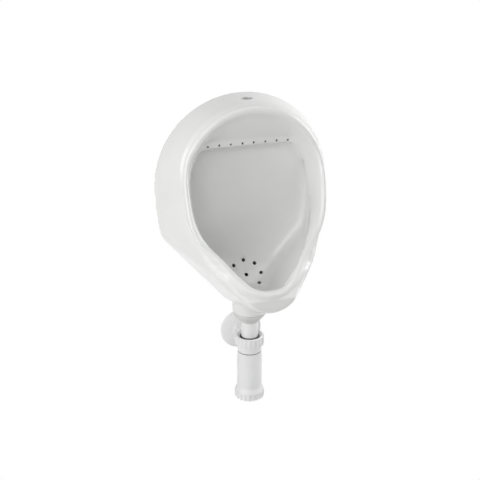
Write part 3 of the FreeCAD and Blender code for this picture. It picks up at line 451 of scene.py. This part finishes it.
def ramp(value, low, high):
    """A smooth 0 to 1 step of an array between two limits, which may run downwards."""
    share = numpy.clip((value - low) / (high - low), 0.0, 1.0)
    return share * share * (3.0 - 2.0 * share)


def vertex_places(mesh):
    """The places and the normals of a mesh's vertices as two arrays."""
    places = numpy.empty(len(mesh.vertices) * 3)
    normals = numpy.empty(len(mesh.vertices) * 3)
    mesh.vertices.foreach_get("co", places)
    mesh.vertices.foreach_get("normal", normals)
    return places.reshape(-1, 3), normals.reshape(-1, 3)


def relax(piece, name, weights, passes):
    """Smooths a piece where its weights are above nought."""
    group = piece.vertex_groups.new(name=name)
    levels = numpy.rint(numpy.clip(weights, 0.0, 1.0) * WEIGHT_LEVELS).astype(int)
    for level in range(1, WEIGHT_LEVELS + 1):
        found = numpy.nonzero(levels == level)[0].tolist()
        if found:
            group.add(found, level / WEIGHT_LEVELS, "REPLACE")
    smooth = piece.modifiers.new(name, "SMOOTH")
    smooth.vertex_group = name
    smooth.factor = RELAX_FACTOR
    smooth.iterations = passes


def outwardness(places, normals):
    """1 where a surface faces away from the mouth's middle line, -1 where it faces it."""
    x, z = places[:, 0], places[:, 2] - BOWL_MIDDLE
    return (normals[:, 0] * x + normals[:, 2] * z) / numpy.hypot(x, z)


def lip_crest(z):
    """How far the lip's crest stands from the wall at a height."""
    return CREST_DEPTH + CREST_LEAN * numpy.clip(CREST_TOP - z, 0.0, 1.0)


def between(values, limits):
    """Where an array lies between two limits."""
    return (values > limits[0]) & (values < limits[1])


def skin_weights(mesh):
    """Where the glazed skin may relax: its outside and lip, its chin and the bowl's inside."""
    places, normals = vertex_places(mesh)
    x, y, z = places.T
    on_ledge = between(z, LEDGE_HEIGHTS) & between(y, LEDGE_DEPTHS) & (abs(x) < LEDGE_HALF)
    free = free_zone(x, y, z)
    lip = free * (LOWER_WEIGHT + UPPER_WEIGHT * ramp(z, *SHOULDER_FADE))
    lip *= numpy.where(on_ledge, LEDGE_OUTSIDE, 1.0)
    inside = inside_zone(places, normals) * numpy.where(on_ledge, LEDGE_INSIDE, 1.0)
    return lip, free * chin_zone(places, normals), numpy.clip(inside, 0.0, 1.0)


def free_zone(x, y, z):
    """1 in front of the flat back, but 0 round the water inlet and the waste socket."""
    inlet = numpy.hypot(x - INLET_PLACE.x, y - INLET_PLACE.y)
    socket = numpy.hypot(x - SOCKET_PLACE.x, y - SOCKET_PLACE.y)
    free = ramp(y, *BACK_FADE)
    free *= numpy.where(z > INLET_FOOT, ramp(inlet, INLET_REACH, 2 * INLET_REACH), 1.0)
    free *= numpy.maximum(ramp(z, SOCKET_TOP, SOCKET_TOP + SOCKET_FADE_UP),
                          ramp(socket, SOCKET_REACH, SOCKET_REACH + SOCKET_FADE_OUT))
    return free


def inside_zone(places, normals):
    """Above 0 on the bowl's inside, but 0 in the flush chamber and under the drain's slope."""
    y, z = places[:, 1], places[:, 2]
    slope_up = numpy.array((0.0, -math.sin(DRAIN_SLOPE), math.cos(DRAIN_SLOPE)))
    above_plate = (places - numpy.array(DRAIN_PLACE)) @ slope_up
    in_chamber = (z > CHAMBER_FOOT) & (y > -CHAMBER_DEPTH - CHAMBER_LEAN * (z - CHAMBER_TOP))
    inside = ramp(outwardness(places, normals), *INSIDE_FADE) + (normals[:, 1] < INSIDE_NORMAL)
    inside *= y < BOWL_BACK
    crest = lip_crest(z)
    inside *= (ramp(-y, crest + INSIDE_CREST[0], crest + INSIDE_CREST[1])
               * (above_plate > PLATE_BELOW) * ~in_chamber)
    return inside


def chin_zone(places, normals):
    """1 on the outside of the china under the lip's lowest stretch, fading upwards."""
    x, y, z = places.T
    root = CHIN_ROOT + numpy.clip(abs(x) - CHIN_ROOT_HALF, 0.0, CHIN_ROOT_RISE)
    return (ramp(z - root, *CHIN_FADE) * ramp(y, *CHIN_DEPTHS)
            * ramp(outwardness(places, normals), *CHIN_OUTWARD))


def move_skin(mesh, moves):
    """Moves a mesh's vertices by an array of moves, never in front of the model's box."""
    places, normals = vertex_places(mesh)
    places += moves(places, normals)
    front = CAD_BOX[0].y
    places[:, 1] = numpy.maximum(places[:, 1], front)
    mesh.vertices.foreach_set("co", places.ravel())
    mesh.update()


def dip_lip(depth):
    """A move that lowers the lip's lowest stretch."""
    def moves(places, normals):
        x, y, z = places.T
        share = (ramp(z, *DIP_FOOT) * ramp(z, *DIP_HEAD) * ramp(y, *DIP_DEPTHS)
                 * ramp(abs(x), *DIP_SIDES))
        return numpy.outer(-depth * share, (0.0, 0.0, 1.0))
    return moves


def draw_out(chin, lip):
    """A move that draws the relaxed chin and lip out along their normals."""
    def moves(places, normals):
        y, z = places[:, 1], places[:, 2]
        crest = lip_crest(z)
        on_lip = ramp(-y, crest + DRAW_CREST[0], crest + DRAW_CREST[1]) * ramp(z, *DRAW_FOOT)
        share = chin * chin_zone(places, normals) + lip * on_lip
        return normals * share[:, None]
    return moves


def glazed_skin(settings, glaze, painted_shade):
    """The bowl as one skin of glaze: every corner drawn round, the holes cut sharp again."""
    skin = bpy.data.objects.new("china", plugged_bowl())
    bpy.context.scene.collection.objects.link(skin)
    remesh = skin.modifiers.new("skin", "REMESH")
    remesh.mode = "VOXEL"
    remesh.voxel_size = settings.skin_step
    settle(skin)
    move_skin(skin.data, dip_lip(settings.lip_dip))
    outside, chin, inside = skin_weights(skin.data)
    relax(skin, "edges", numpy.ones(len(outside)), settings.edge_passes)
    relax(skin, "lip", outside, settings.lip_passes)
    relax(skin, "chin", chin, settings.chin_passes)
    relax(skin, "bowl", inside, settings.bowl_passes)
    settle(skin)
    move_skin(skin.data, draw_out(settings.chin_swell, settings.lip_swell))
    outside = skin_weights(skin.data)[0]
    relax(skin, "last", outside, settings.last_passes)
    settle(skin)
    drill_out(skin, rods(drain_places(), DRAIN_SLOPE, DRAIN_HOLE, *DRAIN_DRILL))
    drill_out(skin, rods(jet_places(), JET_TURN, JET_HOLE, *JET_DRILL))
    paint(skin, glaze, painted_shade)
    return skin


def plugged_bowl():
    """The bowl's mesh with its small holes plugged and the clay under the lip made up."""
    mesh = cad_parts["bowl"].data.copy()
    build = bmesh.new()
    build.from_mesh(mesh)
    bmesh.ops.remove_doubles(build, verts=build.verts, dist=MERGE_DISTANCE)
    build.from_mesh(rods(drain_places(), DRAIN_SLOPE, DRAIN_HOLE + PLUG_MARGIN,
                         -DRAIN_PLATE, PLUG_MARGIN))
    build.from_mesh(rods(jet_places(), JET_TURN, JET_HOLE + PLUG_MARGIN, 0.0, JET_PLUG_REACH))
    for step in range(LIP_ROOT_STEPS + 1):
        place = LIP_ROOT_FOOT.lerp(LIP_ROOT_HEAD, step / LIP_ROOT_STEPS)
        for side in (-1, 1):
            bmesh.ops.create_icosphere(
                build, subdivisions=3, radius=LIP_ROOT_RADIUS,
                matrix=Matrix.Translation((side * place.x, place.y, place.z)))
    build.to_mesh(mesh)
    build.free()
    return mesh


def drill_out(skin, mesh):
    """Cuts a mesh out of the skin."""
    drill = bpy.data.objects.new("drill", mesh)
    bpy.context.scene.collection.objects.link(drill)
    cut = skin.modifiers.new("cut", "BOOLEAN")
    cut.operation = "DIFFERENCE"
    cut.solver = "EXACT"
    cut.object = drill
    settle(skin)
    bpy.data.objects.remove(drill)


def paint(skin, glaze, painted_shade):
    """Gives the skin its glaze, and painted shade where in_sump and in_jet say so."""
    skin.data.materials.clear()
    skin.data.materials.append(glaze)
    # The second material is painted shade for the drain's chamber and the jets.
    skin.data.materials.append(painted_shade)
    for face in skin.data.polygons:
        face.use_smooth = True
        if in_sump(face) or in_jet(face):
            face.material_index = 1


def in_sump(face):
    """True for a face of the chamber under the drain or of one of its holes."""
    way = SUMP_PLACE - face.center
    return ((face.center - DRAIN_PLACE).dot(turned_axis(DRAIN_SLOPE)) < SUMP_START
            and way.length < SUMP_REACH and face.normal.dot(way) > 0)


def in_jet(face):
    """True for a face of a flush jet's bore, or of a wall that the bore's line meets behind it."""
    if (face.center - JET_PLACE).length > JET_PITCH * JET_COUNT / 2:
        return False
    axis = turned_axis(JET_TURN)
    for place in jet_places():
        way = face.center - place
        along = way.dot(axis)
        if along > JET_START and (way - along * axis).length < JET_REACH * JET_HOLE:
            return True
    return False


# ---------------------------------------------------------------- operators

LINER_COLOUR = (0.62, 0.62, 0.60)               # plastic of the saddles on the hangers
LIGHTS = (                                      # name, place and width of each square light
    ("left", (-1.25, -0.45, 0.45), 0.9),
    ("low", (-1.0, -1.2, 0.3), 0.9),
    ("front", (-0.7, -1.3, 1.0), 0.9),
    ("right", (1.25, -0.2, 0.6), 0.9),
    ("top", (0.0, -0.2, 1.6), 1.0),
)
FLOOR_DROP, FLOOR_HALF = 0.35, 3.0              # how far under the object, and half its width


class URINAL_OT_china(bpy.types.Operator):
    """Form the china's glazed skin and glaze it"""
    bl_idname = "urinal.china"
    bl_label = "China"

    def execute(self, context):
        skin = glazed_skin(context.scene.urinal_china, glazed_china(), wet_china())
        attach(skin, "fixture")
        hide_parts("bowl")
        return {"FINISHED"}


class URINAL_OT_trap(bpy.types.Operator):
    """Finish the trap's plastic and rubber pieces"""
    bl_idname = "urinal.trap"
    bl_label = "Trap"

    def execute(self, context):
        settings = context.scene.urinal_plastic
        plastic = moulded_plastic()
        for node in ("tail_pipe", "trap_head", "dip_tube", "bottle", "cleaning_cap",
                     "outlet_friction_ring", "outlet_nut", "outlet_pipe", "rosette"):
            dress(node, plastic)
        rubber = soft_rubber("seal_rubber", settings.rubber, roughness=0.55)
        for node in ("inlet_seal", "bottle_seal", "cap_seal", "outlet_cone_seal"):
            dress(node, rubber)
        dress("outlet_sleeve", soft_rubber("sleeve_rubber", settings.sleeve, roughness=0.5))
        return {"FINISHED"}


class URINAL_OT_hangers(bpy.types.Operator):
    """Finish the steel hangers and their plastic saddles"""
    bl_idname = "urinal.hangers"
    bl_label = "Hangers"

    def execute(self, context):
        steel = plated_steel()
        liner = soft_rubber("liner_plastic", LINER_COLOUR, roughness=0.42)
        for side in ("left", "right"):
            dress("hanger_" + side, steel)
            dress("hook_liner_" + side, liner)
        return {"FINISHED"}


class URINAL_OT_studio(bpy.types.Operator):
    """Build the camera, the lights, the floor and the white surroundings"""
    bl_idname = "urinal.studio"
    bl_label = "Studio"

    def execute(self, context):
        settings = context.scene.urinal_studio
        add_camera(settings)
        low, high = CAD_BOX
        middle = (low + high) / 2
        for name, place, width in LIGHTS:
            power = getattr(settings, name + "_power")
            add_light(name + "_light", place, middle, width, power)
        add_floor(low.z - FLOOR_DROP)
        add_world(settings.daylight)
        context.scene.view_settings.view_transform = "Standard"
        return {"FINISHED"}


def add_camera(settings):
    """The camera at the photograph's viewing angle."""
    data = bpy.data.cameras.new("camera")
    data.lens = settings.lens
    data.sensor_width = 36.0
    camera = bpy.data.objects.new("camera", data)
    camera.location = settings.camera_place
    camera.rotation_euler = (math.pi / 2 - settings.camera_dip, 0.0, -settings.camera_turn)
    bpy.context.scene.collection.objects.link(camera)
    bpy.context.scene.camera = camera


def add_light(name, place, target, width, power):
    """A square soft light that faces the object."""
    data = bpy.data.lights.new(name, "AREA")
    data.shape = "SQUARE"
    data.size = width
    data.energy = power
    light = bpy.data.objects.new(name, data)
    light.location = place
    light.rotation_euler = (Vector(target) - Vector(place)).to_track_quat("-Z", "Y").to_euler()
    bpy.context.scene.collection.objects.link(light)


def add_floor(height):
    """A pale floor that looks white to the camera."""
    corners = [(x * FLOOR_HALF, y * FLOOR_HALF, height)
               for x, y in ((-1, -1), (1, -1), (1, 1), (-1, 1))]
    mesh = bpy.data.meshes.new("studio_floor")
    mesh.from_pydata(corners, [], [(0, 1, 2, 3)])
    floor = bpy.data.objects.new("studio_floor", mesh)
    bpy.context.scene.collection.objects.link(floor)
    material, tree, shader = new_material("studio_floor")
    shader.inputs["Base Color"].default_value = (0.85, 0.85, 0.85, 1.0)
    shader.inputs["Roughness"].default_value = 0.9
    output = next(node for node in tree.nodes if node.type == "OUTPUT_MATERIAL")
    white = tree.nodes.new("ShaderNodeEmission")
    mix = tree.nodes.new("ShaderNodeMixShader")
    tree.links.new(seen_directly(tree), mix.inputs["Fac"])
    tree.links.new(shader.outputs["BSDF"], mix.inputs[1])
    tree.links.new(white.outputs["Emission"], mix.inputs[2])
    tree.links.new(mix.outputs["Shader"], output.inputs["Surface"])
    mesh.materials.append(material)


def seen_directly(tree):
    """1 for rays from the camera, a gloss or a clear material, else 0."""
    path = tree.nodes.new("ShaderNodeLightPath")
    total = path.outputs["Is Camera Ray"]
    for label in ("Is Glossy Ray", "Is Transmission Ray"):
        add = tree.nodes.new("ShaderNodeMath")
        add.operation = "MAXIMUM"
        tree.links.new(total, add.inputs[0])
        tree.links.new(path.outputs[label], add.inputs[1])
        total = add.outputs["Value"]
    return total


def add_world(strength):
    """White surroundings, at full white only where they are seen directly."""
    world = bpy.data.worlds.new("white_room")
    world.use_nodes = True
    tree = world.node_tree
    tree.nodes.clear()
    output = tree.nodes.new("ShaderNodeOutputWorld")
    light = tree.nodes.new("ShaderNodeBackground")
    white = tree.nodes.new("ShaderNodeBackground")
    mix = tree.nodes.new("ShaderNodeMixShader")
    light.inputs["Strength"].default_value = strength
    white.inputs["Color"].default_value = (1.0, 1.0, 1.0, 1.0)
    light.inputs["Color"].default_value = (1.0, 1.0, 1.0, 1.0)
    tree.links.new(seen_directly(tree), mix.inputs["Fac"])
    tree.links.new(light.outputs["Background"], mix.inputs[1])
    tree.links.new(white.outputs["Background"], mix.inputs[2])
    tree.links.new(mix.outputs["Shader"], output.inputs["Surface"])
    bpy.context.scene.world = world


class URINAL_PT_panel(bpy.types.Panel):
    """Settings and steps for the urinal"""
    bl_idname = "URINAL_PT_panel"
    bl_label = "Urinal"
    bl_space_type = "VIEW_3D"
    bl_region_type = "UI"
    bl_category = "Urinal"

    def draw(self, context):
        column = self.layout.column()
        for group, names in SETTINGS.items():
            for name in names.__annotations__:
                column.prop(getattr(context.scene, group), name)
        for operator in OPERATORS:
            column.operator(operator.bl_idname)


SETTINGS = {
    "urinal_china": ChinaSettings,
    "urinal_plastic": PlasticSettings,
    "urinal_studio": StudioSettings,
}
OPERATORS = (URINAL_OT_china, URINAL_OT_trap, URINAL_OT_hangers, URINAL_OT_studio)


def register():
    """Register the classes and hang the settings on the scene."""
    for cls in (*SETTINGS.values(), *OPERATORS, URINAL_PT_panel):
        bpy.utils.register_class(cls)
    for name, cls in SETTINGS.items():
        setattr(bpy.types.Scene, name, PointerProperty(type=cls))


def unregister():
    """Take the settings and classes away again."""
    for name in SETTINGS:
        delattr(bpy.types.Scene, name)
    for cls in reversed((*SETTINGS.values(), *OPERATORS, URINAL_PT_panel)):
        bpy.utils.unregister_class(cls)


def main():
    """Run every step."""
    register()
    bpy.ops.urinal.china()
    bpy.ops.urinal.trap()
    bpy.ops.urinal.hangers()
    bpy.ops.urinal.studio()


if __name__ == "__main__":
    main()
